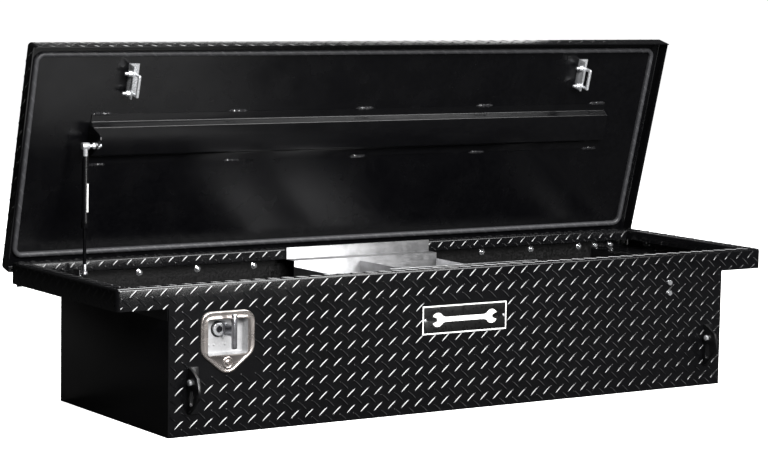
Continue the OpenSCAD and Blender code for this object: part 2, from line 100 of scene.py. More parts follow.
def noise(tree, scale, detail=3.0, stretch=(1, 1, 1)):
    """Noise in object space, in features per metre."""
    coord = tree.nodes.new("ShaderNodeTexCoord")
    mapping = tree.nodes.new("ShaderNodeMapping")
    mapping.inputs["Scale"].default_value = stretch
    tex = tree.nodes.new("ShaderNodeTexNoise")
    tex.inputs["Scale"].default_value = scale
    tex.inputs["Detail"].default_value = detail
    tree.links.new(coord.outputs["Object"], mapping.inputs["Vector"])
    tree.links.new(mapping.outputs["Vector"], tex.inputs["Vector"])
    return tex.outputs["Fac"]


def ramp(tree, value, low, high, stops=(0.3, 0.7)):
    """Maps a 0 to 1 value onto a range of numbers or colours."""
    node = tree.nodes.new("ShaderNodeValToRGB")
    for element, at, out in zip(node.color_ramp.elements, stops, (low, high)):
        element.position = at
        element.color = (*out, 1) if isinstance(out, tuple) else (out, out, out, 1)
    tree.links.new(value, node.inputs["Fac"])
    return node.outputs["Color"]


def bump(tree, shader, height, strength, distance):
    """Drives the shader's normal from a height value."""
    node = tree.nodes.new("ShaderNodeBump")
    node.inputs["Strength"].default_value = strength
    node.inputs["Distance"].default_value = distance
    tree.links.new(height, node.inputs["Height"])
    tree.links.new(node.outputs["Normal"], shader.inputs["Normal"])


def powder_coat(name, color, rough, spec, peel):
    """Black powder coat: faint orange peel and patchy gloss."""
    mat, tree, shader = material(name, color, rough, spec=spec)
    patch = noise(tree, 14, 4)
    tree.links.new(ramp(tree, patch, rough * 0.85, rough * 1.2), shader.inputs["Roughness"])
    dust = noise(tree, 90, 5)
    lighter = tuple(c * 1.3 + 0.0006 for c in color)
    tree.links.new(ramp(tree, dust, color, lighter, (0.35, 0.8)), shader.inputs["Base Color"])
    bump(tree, shader, noise(tree, 420, 2), peel, 0.2 * MM)
    return mat


def bare_metal(name, color, rough, stretch=(1, 1, 1), grain=300, wear=0.12, metal=1.0):
    """Plated or brushed metal: fine grain with slightly darker, duller patches."""
    mat, tree, shader = material(name, color, rough, metal=metal)
    streak = noise(tree, grain, 6, stretch)
    tree.links.new(ramp(tree, streak, rough * 0.75, rough * 1.3), shader.inputs["Roughness"])
    patch = noise(tree, 35, 4)
    darker = tuple(c * (1 - wear) for c in color)
    tree.links.new(ramp(tree, patch, darker, color, (0.35, 0.6)), shader.inputs["Base Color"])
    bump(tree, shader, streak, 0.15, 0.03 * MM)
    return mat


def lining_material():
    """Sprayed lining: pebbled black film, its colour painted lighter on the pebbles and darker in the pits
    (painted highlight and painted shade).
    """
    mat, tree, shader = material("lining", (0.012, 0.012, 0.012), 0.5, spec=0.16)
    coarse = noise(tree, 210, 2)
    # Colour follows the bump's noise: painted shade in the pits, painted highlight on the pebble tops.
    pit_shade, pebble_highlight = (0.0006, 0.0006, 0.0006), (0.0065, 0.0063, 0.0065)
    tree.links.new(ramp(tree, coarse, pit_shade, pebble_highlight, (0.46, 0.66)), shader.inputs["Base Color"])
    tree.links.new(ramp(tree, coarse, 0.4, 0.75), shader.inputs["Roughness"])
    bump(tree, shader, coarse, 0.9, 1.0 * MM)
    return mat


def seal_material():
    """Foam rubber with a mottled, slightly uneven skin."""
    mat, tree, shader = material("seal_rubber", (0.04, 0.04, 0.042), 0.5, spec=0.5)
    skin = noise(tree, 260, 4)
    dark, light = (0.018, 0.018, 0.02), (0.038, 0.038, 0.041)
    tree.links.new(ramp(tree, skin, dark, light), shader.inputs["Base Color"])
    bump(tree, shader, noise(tree, 55, 2), 0.5, 0.8 * MM)
    return mat


def print_material(name, color, rough):
    """Plain smooth surface: print, label, worn rubber marks drawn lighter as a painted highlight, or satin metal.
    """
    mat, tree, shader = material(name, color, rough)
    patch = noise(tree, 120, 3)
    tree.links.new(ramp(tree, patch, rough * 0.8, rough * 1.2), shader.inputs["Roughness"])
    bump(tree, shader, noise(tree, 900, 2), 0.08, 0.05 * MM)
    return mat


BLACK = powder_coat("tread_black", (0.0018, 0.0018, 0.0021), 0.17, 0.5, 0.10)
SHEET = powder_coat("sheet_black", (0.0014, 0.0014, 0.0017), 0.22, 0.38, 0.05)
INSIDE = powder_coat("lid_inside_black", (0.0008, 0.0008, 0.0011), 0.25, 0.36, 0.15)
FITTING = powder_coat("fitting_black", (0.0018, 0.0018, 0.0021), 0.30, 0.5, 0.15)
WELD = powder_coat("weld_coat", (0.012, 0.012, 0.013), 0.16, 1.0, 1.0)
LINING = lining_material()
SEAL = seal_material()
# Lighter colour for the seal's worn marks: a painted highlight on their dents.
SEAL_MARK = print_material("seal_mark_wear_and_highlight", (0.05, 0.05, 0.053), 0.45)
STAINLESS = bare_metal("stainless", (0.50, 0.455, 0.43), 0.27, (1, 1, 3), 9, 0.10, 0.96)
SATIN = print_material("satin_recess", (0.33, 0.33, 0.335), 0.28)
GRIP = bare_metal("grip_plate", (0.34, 0.34, 0.36), 0.2, grain=200, wear=0.06, metal=0.9)
ZINC = bare_metal("zinc_plate", (0.74, 0.75, 0.77), 0.24, grain=500, metal=0.7)
CHROME = bare_metal("chrome_plate", (0.80, 0.81, 0.83), 0.12, grain=200, wear=0.06, metal=0.85)
ALUMINIUM = bare_metal("mill_aluminium", (0.31, 0.31, 0.315), 0.42, (1, 14, 14), 60, 0.22)
TRAY = bare_metal("tray_aluminium", (0.235, 0.235, 0.24), 0.42, (1, 14, 14), 60, 0.2)
STEEL = bare_metal("dark_steel", (0.30, 0.30, 0.31), 0.30, grain=400)
ROD = powder_coat("blackened_rod", (0.0015, 0.0015, 0.0018), 0.25, 0.15, 0.05)
CORE = bare_metal("lock_core", (0.10, 0.10, 0.11), 0.30, grain=400)
PAPER = print_material("label_white", (0.82, 0.82, 0.80), 0.40)
INK = print_material("plate_black", (0.003, 0.003, 0.003), 0.30)

# ---- mesh helpers ----


def finish_piece(name, bm, mats, body, replaces=(), smooth=30):
    """Turns a bmesh into a shaded piece on its body."""
    bmesh.ops.remove_doubles(bm, verts=bm.verts, dist=0.004 * MM)
    bmesh.ops.dissolve_degenerate(bm, edges=bm.edges, dist=0.004 * MM)
    bmesh.ops.recalc_face_normals(bm, faces=bm.faces)
    mesh = bpy.data.meshes.new(name)
    bm.to_mesh(mesh)
    bm.free()
    mesh.shade_smooth()
    mesh.set_sharp_from_angle(angle=math.radians(smooth))
    for mat in mats if isinstance(mats, (list, tuple)) else [mats]:
        mesh.materials.append(mat)
    obj = bpy.data.objects.new(name, mesh)
    bpy.context.scene.collection.objects.link(obj)
    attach(obj, body)
    if replaces:
        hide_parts(*replaces)


def grid(bm, rows, wrap=False):
    """Quads between rows of points; wrap closes each row."""
    verts = [[bm.verts.new(p) for p in row] for row in rows]
    for a, b in zip(verts, verts[1:]):
        count = len(a) if wrap else len(a) - 1
        for i in range(count):
            j = (i + 1) % len(a)
            bm.faces.new((a[i], a[j], b[j], b[i]))
    return verts


def box(bm, lo, hi):
    """A plain block between two corners."""
    for v in bmesh.ops.create_cube(bm, size=1)["verts"]:
        v.co = [lo[i] + (v.co[i] + 0.5) * (hi[i] - lo[i]) for i in range(3)]


def fillet(points, radius, steps=4):
    """Open polyline with its inner corners rounded; radius is one number or one per corner."""
    out = [Vector(points[0])]
    for k, (a, b, c) in enumerate(zip(points, points[1:], points[2:])):
        r = radius[k] if isinstance(radius, (list, tuple)) else radius
        a, b, c = Vector(a), Vector(b), Vector(c)
        u, v = (a - b).normalized(), (c - b).normalized()
        half = u.angle(v) / 2
        if r <= 0 or half > math.radians(89.5):
            out.append(b)
            continue
        centre = b + (u + v).normalized() * (r / math.sin(half))
        start, end = b + u * (r / math.tan(half)), b + v * (r / math.tan(half))
        s, e = start - centre, end - centre
        turn = s.angle(e)
        for i in range(steps + 1):
            f = i / steps
            out.append(centre + (s * math.sin((1 - f) * turn) + e * math.sin(f * turn)) / math.sin(turn))
    out.append(Vector(points[-1]))
    return out


def sheet_outline(path, thick, radius):
    """Closed outline of a bent sheet: path is its outer face, the sheet lies to the path's right."""
    inner = []
    n = len(path)
    for i, p in enumerate(path):
        before = (Vector(p) - Vector(path[i - 1])).normalized() if i else None
        after = (Vector(path[i + 1]) - Vector(p)).normalized() if i < n - 1 else None
        a, b = before or after, after or before
        a, b = Vector((a.y, -a.x)), Vector((b.y, -b.x))
        inner.append(Vector(p) + (a + b) * thick / (1 + a.dot(b)))
    return fillet(path, radius) + fillet(inner, max(radius - thick, 0.5 * MM))[::-1]


def loop_side(bm, profile, along, away, corner, turn, centre=(0, 0), matrix=Matrix.Identity(4)):
    """One side of a rounded rectangular loop: profile (inward offset, z) swept from mitre to mitre."""
    spin = Matrix.Rotation(math.radians(turn), 4, "Z")
    steps = 5
    rows = []
    for side in (-1, 1):
        span = range(steps + 1) if side < 0 else range(steps, -1, -1)
        for i in span:
            ang = math.radians(45 * (1 - i / steps))
            row = []
            for o, z in profile:
                r = max(corner - o, 0)
                x = along - max(o, corner) + r * math.sin(ang)
                y = away - max(o, corner) + r * math.cos(ang)
                p = spin @ Vector((side * x, -y, z))
                row.append(matrix @ Vector((p.x + centre[0], p.y + centre[1], p.z)))
            rows.append(row)
    return grid(bm, rows, wrap=True)


def lathe(bm, profile, matrix, sides=32):
    """Turns (radius, height) points round the matrix's Z axis."""
    rows = []
    for r, h in profile:
        angles = [2 * math.pi * i / sides for i in range(sides)]
        rows.append([matrix @ Vector((r * math.cos(a), r * math.sin(a), h)) for a in angles])
    grid(bm, rows, wrap=True)


def axis_matrix(at, axis):
    """Frame with its Z along an axis."""
    return Matrix.Translation(Vector(at)) @ Vector(axis).to_track_quat("Z", "Y").to_matrix().to_4x4()


def refine(node, body, mat, width, segments=2, smooth=35):
    """Bevelled copy of a CAD node, so that its edges catch the light."""
    bm = bmesh.new()
    bm.from_mesh(NODES[node].data)
    bmesh.ops.remove_doubles(bm, verts=bm.verts, dist=0.002 * MM)
    bmesh.ops.dissolve_limit(bm, angle_limit=math.radians(0.5), verts=bm.verts, edges=bm.edges)
    sharp = [e for e in bm.edges
             if len(e.link_faces) == 2 and e.calc_face_angle(0) > math.radians(32)]
    bmesh.ops.bevel(bm, geom=sharp, offset=width, offset_type="OFFSET", segments=segments,
                    profile=0.5, affect="EDGES", clamp_overlap=True)
    finish_piece(node + "_shell", bm, mat, body, [node], smooth)


# ---- tread plate ----

TREAD = 36 * MM
LUG_HALF, LUG_W, LUG_H, LUG_LEAN = 16 * MM, 2.4 * MM, 1.3 * MM, math.radians(41)
LUG_SUNK = 0.05 * MM  # how far a lug's foot goes into its sheet
LUG_OVER = 9 * MM  # how far outside an edge a lug may stand and still be cut off there
FACE_PHASE = (0.63, 0.70)


def lug(bm, u, v, lean, place):
    """One raised lug: lens-shaped, pointed at both ends, with sloping sides."""
    stations = (-1.0, -0.89, -0.66, -0.3, 0.0, 0.3, 0.66, 0.89, 1.0)
    across = (-1.0, -0.3, 0.0, 0.3, 1.0)
    rise = (0.0, 0.86, 1.0, 0.86, 0.0)
    c, s = math.cos(LUG_LEAN * lean), math.sin(LUG_LEAN * lean)
    rows = []
    for t in stations:
        wide, high = max(1 - t * t, 0.03) ** 0.5, max(1 - t * t, 0.0) ** 0.32
        row = []
        for a, h in zip(across, rise):
            x, y = t * LUG_HALF, a * LUG_W * wide
            row.append(place(u + x * c - y * s, v + x * s + y * c, h * LUG_H * high - LUG_SUNK))
        rows.append(row)
    grid(bm, rows)


def tread(bm, place, u0, u1, v0, v1, keep_out=(), phase=(0, 0)):
    """Lugs over a rectangle, cut off at its edges; place maps (u, v, height) to a point."""
    part = bmesh.new()
    flat = lambda u, v, h: Vector((u, v, h))
    n0, n1 = math.floor(u0 / TREAD) - 1, math.ceil(u1 / TREAD) + 1
    m0, m1 = math.floor(v0 / TREAD) - 1, math.ceil(v1 / TREAD) + 1
    for i in range(n0, n1 + 1):
        for j in range(m0, m1 + 1):
            for half, lean in ((0.0, 1), (0.5, -1)):
                u, v = (i + half + phase[0]) * TREAD, (j + half + phase[1]) * TREAD
                if not (u0 - LUG_OVER < u < u1 + LUG_OVER and v0 - LUG_OVER < v < v1 + LUG_OVER):
                    continue
                if any(a < u < b and c < v < d for a, b, c, d in keep_out):
                    continue
                lug(part, u, v, lean, flat)
    cuts = (((u0, 0, 0), (-1, 0, 0)), ((u1, 0, 0), (1, 0, 0)),
            ((0, v0, 0), (0, -1, 0)), ((0, v1, 0), (0, 1, 0)))
    for at, way in cuts:
        geom = part.verts[:] + part.edges[:] + part.faces[:]
        bmesh.ops.bisect_plane(part, geom=geom, plane_co=at, plane_no=way, clear_outer=True)
    copy = {v: bm.verts.new(place(*v.co)) for v in part.verts}
    for f in part.faces:
        bm.faces.new([copy[v] for v in f.verts])
    part.free()


# ---- box shell ----

RIM_PATH = [(0, WING_Z), (0, RIM_Z), (LIP_W, RIM_Z), (LIP_W, LIP_Z)]
RIM_PROFILE = [tuple(p) for p in sheet_outline(RIM_PATH, PLATE, BEND_R)]
EDGE = 4.5 * MM  # plain strip between the lugs and a fold


def rim_side(bm, along, away, turn):
    """One side of the folded rim, closed at both mitres."""
    rows = loop_side(bm, RIM_PROFILE, along, away, RIM_R, turn)
    bm.faces.new(rows[0][::-1])
    bm.faces.new(rows[-1])


def wall(name, turn, keep_out):
    """Front (turn 0) or back wall with its share of the rim; the front has a hole for the recess."""
    bm = bmesh.new()
    rim_side(bm, HALF_L, HALF_D, turn)
    s = -1 if turn == 0 else 1
    y0, y1 = sorted((s * HALF_D, s * (HALF_D - PLATE)))
    x0, x1, z0, z1 = RECESS if turn == 0 else (0, 0, 0, 0)
    blocks = ((-BODY_X, x0, 0, WING_Z), (x1, BODY_X, 0, WING_Z), (x0, x1, 0, z0), (x0, x1, z1, WING_Z))
    for a, b, low, high in blocks:
        if a < b and low < high:
            box(bm, (a, y0, low), (b, y1, high))
    out = lambda u, v, h: Vector((u, s * (HALF_D + h), v))
    tread(bm, out, -BODY_X + EDGE, BODY_X - EDGE, EDGE, WING_Z, keep_out, FACE_PHASE)
    tread(bm, out, -HALF_L + RIM_R, HALF_L - RIM_R, WING_Z, RIM_Z - EDGE, keep_out, FACE_PHASE)
    top = lambda u, v, h: Vector((u, s * (HALF_D - LIP_W + v), RIM_Z + h))
    tread(bm, top, -HALF_L + LIP_W, HALF_L - LIP_W, EDGE, LIP_W - EDGE, phase=(0.25, 0.4))
    lip = lambda u, v, h: Vector((u, s * (HALF_D - LIP_W - h), v))
    end = HALF_L - LIP_W - 2 * MM
    tread(bm, lip, -end, end, LIP_Z + MM, RIM_Z - EDGE, phase=(0.4, 0.8))
    finish_piece(name + "_sheet", bm, BLACK, "box", [name])


def end_rim(name, s):
    """Rim at one end of the box; s is -1 for the left end and 1 for the right."""
    bm = bmesh.new()
    rim_side(bm, HALF_D, HALF_L, 90 * s)
    out = lambda u, v, h: Vector((s * (HALF_L + h), u, v))
    tread(bm, out, -HALF_D + RIM_R, HALF_D - RIM_R, WING_Z + MM, RIM_Z - EDGE)
    top = lambda u, v, h: Vector((s * (HALF_L - LIP_W + v), u, RIM_Z + h))
    tread(bm, top, -HALF_D + EDGE, HALF_D - EDGE, EDGE, LIP_W - EDGE, phase=(0.1, 0.4))
    lip = lambda u, v, h: Vector((s * (HALF_L - LIP_W - h), u, v))
    end = HALF_D - LIP_W - 2 * MM
    tread(bm, lip, -end, end, LIP_Z + MM, RIM_Z - EDGE)
    finish_piece(name + "_sheet", bm, BLACK, "box", [name])


def region(node, grow):
    """Where a fitting stands on the front, grown by a margin: (x0, x1, z0, z1)."""
    lo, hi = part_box(node)
    return (lo.x - grow, hi.x + grow, lo.z - grow, hi.z + grow)


dish_lo, dish_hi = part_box("latch_dish")
RECESS = (dish_lo.x + 19 * MM, dish_hi.x - 16 * MM, dish_lo.z + 41.5 * MM, dish_hi.z - 18 * MM)
BOSS = ((dish_lo.x + dish_hi.x) / 2, -HALF_D - 3 * MM, dish_lo.z + 24.5 * MM)
FITTINGS = [region("latch_dish", 3 * MM), region("name_plate", 4 * MM)]
wall("front_panel", 0, FITTINGS)
wall("back_panel", 180, [(-HALF_L, HALF_L, PIN.z - 50 * MM, PIN.z + 60 * MM)])
end_rim("left_end_rim", -1)
end_rim("right_end_rim", 1)
for side in ("left", "right"):
    refine(side + "_ledge", "box", SHEET, 1.0 * MM)
    refine(side + "_side_panel", "box", SHEET, 0.6 * MM)
refine("floor_panel", "box", SHEET, 0.8 * MM)
NODES["box_liner"].data.materials.clear()
NODES["box_liner"].data.materials.append(LINING)

# ---- lid ----


def lid_pan():
    """Folded lid: four mitred sides, two flat faces in the middle, lugs outside, plain black inside."""
    bm = bmesh.new()
    mid = (LID_FRONT + LID_BACK) / 2
    depth = (LID_BACK - LID_FRONT) / 2
    inset = 60 * MM
    sides = ((0, LID_X, depth, -7.5 * MM), (180, LID_X, depth, 5 * MM),
             (90, depth, LID_X, 0.0), (-90, depth, LID_X, 0.0))
    for turn, along, away, low in sides:
        path = [(0, low), (0, LID_RISE), (inset, LID_RISE)]
        profile = [tuple(p) for p in sheet_outline(path, PLATE, BEND_R)]
        loop_side(bm, profile, along, away, LID_R, turn, (0, mid), LID)
    for z in (LID_RISE, LID_IN):
        x, y = LID_X - inset, depth - inset
        bm.faces.new([bm.verts.new(LID @ Vector((sx * x, mid + sy * y, z)))
                      for sx, sy in ((-1, -1), (1, -1), (1, 1), (-1, 1))])
    skin = lambda u, v, h: LID @ Vector((u, v, LID_RISE + h))
    tread(bm, skin, -LID_X + EDGE, LID_X - EDGE, LID_FRONT + EDGE, LID_BACK - EDGE)
    front = lambda u, v, h: LID @ Vector((u, LID_FRONT - 0.35 * h, v))
    tread(bm, front, -LID_X + LID_R, LID_X - LID_R, -7 * MM, LID_RISE - EDGE, phase=(0.2, 0.3))
    for s in (-1, 1):
        end = lambda u, v, h: LID @ Vector((s * (LID_X + h), u, v))
        tread(bm, end, LID_FRONT + LID_R, LID_BACK - LID_R, MM, LID_RISE - EDGE, phase=(0, 0.3))
    back = LID.inverted()
    for f in bm.faces:
        if abs((back @ f.calc_center_median()).z - LID_IN) < 0.1 * MM:
            f.material_index = 1
    finish_piece("lid_pan_sheet", bm, [BLACK, INSIDE], "lid", ["lid_pan"])


def seal():
    """Bulb seal: rounded nose on a flat base, one loop, with the tread's worn marks on its nose, drawn in a
    lighter colour as a painted highlight on their dents.
    """
    bm = bmesh.new()
    x, y0, y1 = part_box("lid_seal")[1].x, -505 * MM, -20 * MM
    w, base, nose, bulb, skirt = 12 * MM, LID_IN, 21.9 * MM, 4.5 * MM, 0.3 * MM
    profile = [(0, base), (skirt, base - 2 * MM)]
    for i in range(9):
        ang = math.pi * i / 8
        across = w / 2 - (w / 2 - skirt) * math.cos(ang)
        profile.append((across, nose + bulb - bulb * math.sin(ang)))
    profile += [(w - skirt, base - 2 * MM), (w, base)]
    mid, depth = (y0 + y1) / 2, (y1 - y0) / 2
    for turn, along, away in ((0, x, depth), (180, x, depth), (90, depth, x), (-90, depth, x)):
        loop_side(bm, profile, along, away, 25 * MM, turn, (0, mid), LID)
    plain, reach, spans = len(bm.faces), 5 * MM, ((y0, y1), (-x, x))
    for turned, ends in enumerate(spans):
        u0, u1 = spans[1 - turned]
        for a in (ends[0] + w / 2, ends[1] - w / 2):
            def on_bulb(u, v, h):
                drop = 1 - math.sqrt(max(1 - ((v - a) / (5.7 * MM)) ** 2, 0))
                z = nose + bulb * drop - 0.25 * h
                return LID @ Vector((v, u, z) if turned else (u, v, z))
            phase = (0, a / TREAD % 1)
            tread(bm, on_bulb, u0 + 28 * MM, u1 - 28 * MM, a - reach, a + reach, phase=phase)
    bm.faces.ensure_lookup_table()
    # The marks take the lighter material: painted highlight.
    for f in bm.faces[plain:]:
        f.material_index = 1
    finish_piece("lid_seal_bulb", bm, [SEAL, SEAL_MARK], "lid", ["lid_seal"], smooth=60)


def weld_beads():
    """Stitch welds along both flanges of the stiffener."""
    bm = bmesh.new()
    lo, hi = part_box("lid_stiffener")
    length, count, steps = 50 * MM, 5, 34
    around = [math.pi * q / 4 for q in range(5)]
    for y in (-357.6 * MM, -236.4 * MM):
        for k in range(count):
            x0 = lo.x + (hi.x - lo.x - length) * k / (count - 1)
            rows = []
            for i in range(steps + 1):
                f = i / steps
                ripple = 1 + 0.3 * math.sin(f * math.pi * 15) + 0.15 * math.sin(f * 97 + k)
                r = 4.2 * MM * ripple * min(1, 8 * f, 8 * (1 - f)) + 0.05 * MM
                ring = [(y + r * math.cos(a), LID_IN - r * math.sin(a) * 0.8) for a in around]
                rows.append([LID @ Vector((x0 + f * length, ry, rz)) for ry, rz in ring])
            grid(bm, rows)
    finish_piece("stiffener_welds", bm, WELD, "lid", smooth=35)


def stiffener():
    """Folded hat section across the lid."""
    lo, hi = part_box("lid_stiffener")
    flange, web = LID_IN - 2 * MM, 10 * MM
    path = [(-237 * MM, flange), (-257 * MM, flange), (-264 * MM, web),
            (-332 * MM, web), (-339 * MM, flange), (-357 * MM, flange)]
    outline = sheet_outline(path, 2 * MM, 4 * MM)
    bm = bmesh.new()
    ends = grid(bm, [[LID @ Vector((x, y, z)) for y, z in outline] for x in (lo.x, hi.x)], wrap=True)
    for row in ends:
        bm.faces.new(row)
    finish_piece("lid_stiffener_fold", bm, SHEET, "lid", ["lid_stiffener"], 40)


lid_pan()
seal()
weld_beads()
stiffener()
refine("strut_ear", "lid", SHEET, 0.6 * MM)
for node in ("strut_stud", "striker_nuts"):
    refine(node, "lid", ZINC, 0.5 * MM)
refine("striker_brackets", "lid", ZINC, 0.7 * MM)
refine("striker_wires", "lid", ZINC, 0.3 * MM)

# ---- hinge ----

for node, body in (("hinge_box_leaf", "box"), ("hinge_lid_leaf", "lid")):
    refine(node, body, FITTING, 0.3 * MM, 1)
refine("hinge_pin", "box", STEEL, 0.5 * MM)
refine("hinge_bolts", "box", CHROME, 0.7 * MM)
refine("lid_hinge_rivets", "lid", FITTING, 0.5 * MM)

# ---- outside fittings ----


def resample(points, count):
    """Evenly spaced points round a closed outline."""
    ring = [Vector(p) for p in points]
    if (ring[0] - ring[-1]).length > 1e-9:
        ring.append(ring[0])
    lengths = [(b - a).length for a, b in zip(ring, ring[1:])]
    total, out = sum(lengths), []
    for i in range(count):
        goal, k = total * i / count, 0
        while k < len(lengths) - 1 and goal > lengths[k]:
            goal -= lengths[k]
            k += 1
        out.append(ring[k].lerp(ring[k + 1], goal / max(lengths[k], 1e-12)))
    return out


def inset(ring, by):
    """Moves a clockwise closed outline inwards."""
    out = []
    for i, p in enumerate(ring):
        d = (ring[(i + 1) % len(ring)] - ring[i - 1]).normalized()
        out.append(p + Vector((d.y, -d.x)) * by)
    return out


def latch_dish():
    """Pressed shield-shaped dish: rolled rim, flat face and a deep recess with spot dimples."""
    lo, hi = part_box("latch_dish")
    x0, half = (lo.x + hi.x) / 2, (hi.x - lo.x) / 2
    knee = lo.z + 46 * MM
    sides = [(x0, hi.z), (x0 + half, hi.z), (x0 + half, knee), (x0, lo.z - 7.8 * MM),
             (x0 - half, knee), (x0 - half, hi.z), (x0, hi.z)]
    shield = resample(fillet(sides, [27 * MM, 32 * MM, 32 * MM, 32 * MM, 27 * MM], 8), 128)
    r = RECESS
    mid = (r[0] + r[1]) / 2
    corners = [(mid, r[3]), (r[1], r[3]), (r[1], r[2]), (r[0], r[2]), (r[0], r[3]), (mid, r[3])]
    well = resample(fillet(corners, 5 * MM, 6), 128)
    rows = []  # steps of (inwards, outwards) in mm: the rolled rim, then the wall of the recess
    rim = ((0, 0), (0.1, 2.0), (0.7, 3.2), (1.8, 3.8), (3.4, 3.9), (5.2, 3.6), (7, 3.2), (8.4, 3.1))
    for by, out in rim:
        rows.append([Vector((p.x, -HALF_D - out * MM, p.y)) for p in inset(shield, by * MM)])
    pit = ((-4, 3.1), (-2.8, 3.7), (-1.6, 3.7), (-0.6, 2.8), (0, 0.6), (0.6, -20), (1.4, -22), (3.2, -23))
    for by, out in pit:
        rows.append([Vector((p.x, -HALF_D - out * MM, p.y)) for p in inset(well, by * MM)])
    bm = bmesh.new()
    verts = grid(bm, rows, wrap=True)
    bm.faces.new(verts[-1])
    lip = -HALF_D + 0.5 * MM
    depth = -HALF_D + 23 * MM
    for dx in (14, 28, 55):
        place = axis_matrix((r[0] + dx * MM, depth, r[2] + 19 * MM), (0, -1, 0))
        lathe(bm, [(3.2 * MM, 0), (2.8 * MM, 0.9 * MM), (1.6 * MM, 1.6 * MM), (0.02 * MM, 1.8 * MM)], place, 16)
    for f in bm.faces:
        f.material_index = int(f.calc_center_median().y > lip)
    boss = axis_matrix(BOSS, (0, -1, 0))
    lathe(bm, [(13.6 * MM, 0), (12.4 * MM, 1.4 * MM), (11 * MM, 1.9 * MM), (9.6 * MM, 1.4 * MM),
               (8.8 * MM, 0.3 * MM), (0.02 * MM, 0.2 * MM)], boss, 40)
    finish_piece("latch_dish_pressing", bm, [STAINLESS, SATIN], "box", ["latch_dish"], 40)


def hub_shadow_ring():
    """Black ring round the lock hub at the bottom of the recess: painted shade, a dark ring put where the hub's
    shadow falls.
    """
    bm = bmesh.new()
    spin = JOINTS["handle_turn"]["pos_m"]
    place = axis_matrix((spin[0], -HALF_D + 23 * MM, spin[2]), (0, -1, 0))
    lathe(bm, [(17.5 * MM, 0), (17 * MM, 1.2 * MM), (15.4 * MM, 1.4 * MM), (14.4 * MM, 0.6 * MM),
               (14.4 * MM, 0)], place, 48)
    finish_piece("hub_shadow_ring", bm, FITTING, "box", smooth=50)


def dish_bolt():
    """Pan-head screw in the boss, with its nut inside."""
    bm = bmesh.new()
    head = axis_matrix(BOSS, (0, -1, 0))
    lathe(bm, [(0.02 * MM, -19 * MM), (3 * MM, -19 * MM), (3 * MM, 0), (6.4 * MM, 0.1 * MM), (6.2 * MM, 1.3 * MM),
               (5 * MM, 2.2 * MM), (2.8 * MM, 2.6 * MM), (2.5 * MM, 1.6 * MM), (0.02 * MM, 1.5 * MM)], head, 32)
    lathe(bm, [(3 * MM, -11.7 * MM), (6 * MM, -11.7 * MM), (6 * MM, -6.7 * MM), (3 * MM, -6.7 * MM)], head, 6)
    finish_piece("dish_bolt_turned", bm, STAINLESS, "box", ["dish_bolt"], 40)


def grip():
    """Grip bar of the folding handle, flat in front and round where it lies against the dish."""
    lo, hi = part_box("t_handle")
    x, y, r = (lo.x + hi.x) / 2, lo.y + 4.5 * MM, 5.8 * MM
    y0, y1 = y - 6 * MM, y + 4.6 * MM
    bm = bmesh.new()
    outline = fillet([(x, y0), (x + r, y0), (x + r, y1), (x - r, y1), (x - r, y0), (x, y0)],
                     [2.6 * MM, 4.5 * MM, 4.5 * MM, 2.6 * MM], 4)
    rows = []
    for z, f in ((lo.z, 0.7), (lo.z + 0.8 * MM, 0.92), (lo.z + 2.4 * MM, 1), (hi.z - 2.4 * MM, 1),
                 (hi.z - 0.8 * MM, 0.92), (hi.z, 0.7)):
        rows.append([Vector((x + (p[0] - x) * f, y + (p[1] - y) * f, z)) for p in outline[:-1]])
    verts = grid(bm, rows, wrap=True)
    bm.faces.new(verts[0])
    bm.faces.new(verts[-1])
    finish_piece("grip_bar", bm, GRIP, "t_handle", smooth=50)


def flat_shape(bm, outline, y, thick):
    """A thin raised print from an outline in X and Z."""
    front = [bm.verts.new((x, y - thick, z)) for x, z in outline]
    back = [bm.verts.new((x, y, z)) for x, z in outline]
    bm.faces.new(front)
    for i in range(len(front)):
        j = (i + 1) % len(front)
        bm.faces.new((front[i], front[j], back[j], back[i]))


def plate_print():
    """White border and a plain spanner on the black name plate."""
    lo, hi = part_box("name_plate")
    bm = bmesh.new()
    y, thick, line, gap = lo.y, 0.12 * MM, 3.0 * MM, 0.6 * MM
    x0, x1, z0, z1 = lo.x + gap, hi.x - gap, lo.z + gap, hi.z - gap
    for a in ((x0, x1, z0, z0 + line), (x0, x1, z1 - line, z1),
              (x0, x0 + line, z0 + line, z1 - line), (x1 - line, x1, z0 + line, z1 - line)):
        flat_shape(bm, [(a[0], a[2]), (a[1], a[2]), (a[1], a[3]), (a[0], a[3])], y, thick)
    cx, cz = (lo.x + hi.x) / 2, (lo.z + hi.z) / 2
    reach, jaw, neck = 74 * MM, 16 * MM, 7 * MM
    outline = []
    for side in (1, -1):
        for deg in range(-150, 151, 15):
            if abs(deg) < 30:
                continue
            ang = math.radians(deg)
            outline.append((cx + side * (reach + jaw * math.cos(ang)), cz + side * jaw * math.sin(ang)))
            if deg == -30:
                outline.append((cx + side * (reach + 2 * MM), cz - side * 0.5 * neck))
                outline.append((cx + side * (reach + 2 * MM), cz + side * 0.5 * neck))
        outline.append((cx + side * (reach - jaw * 1.3), cz + side * neck * 0.8))
        outline.append((cx - side * (reach - jaw * 1.3), cz + side * neck * 0.8))
    flat_shape(bm, outline, y, thick)
    finish_piece("name_plate_print", bm, PAPER, "box")


refine("tie_down_brackets", "box", FITTING, 0.9 * MM, 3)
refine("tie_down_bolts", "box", ZINC, 0.6 * MM)
refine("name_plate", "box", INK, 0.3 * MM)
refine("name_plate_rivets", "box", ZINC, 0.4 * MM)
latch_dish()
hub_shadow_ring()
plate_print()
dish_bolt()
grip()
refine("slave_latch_bolts", "box", CHROME, 1.2 * MM, 3)

# ---- handle and latches ----

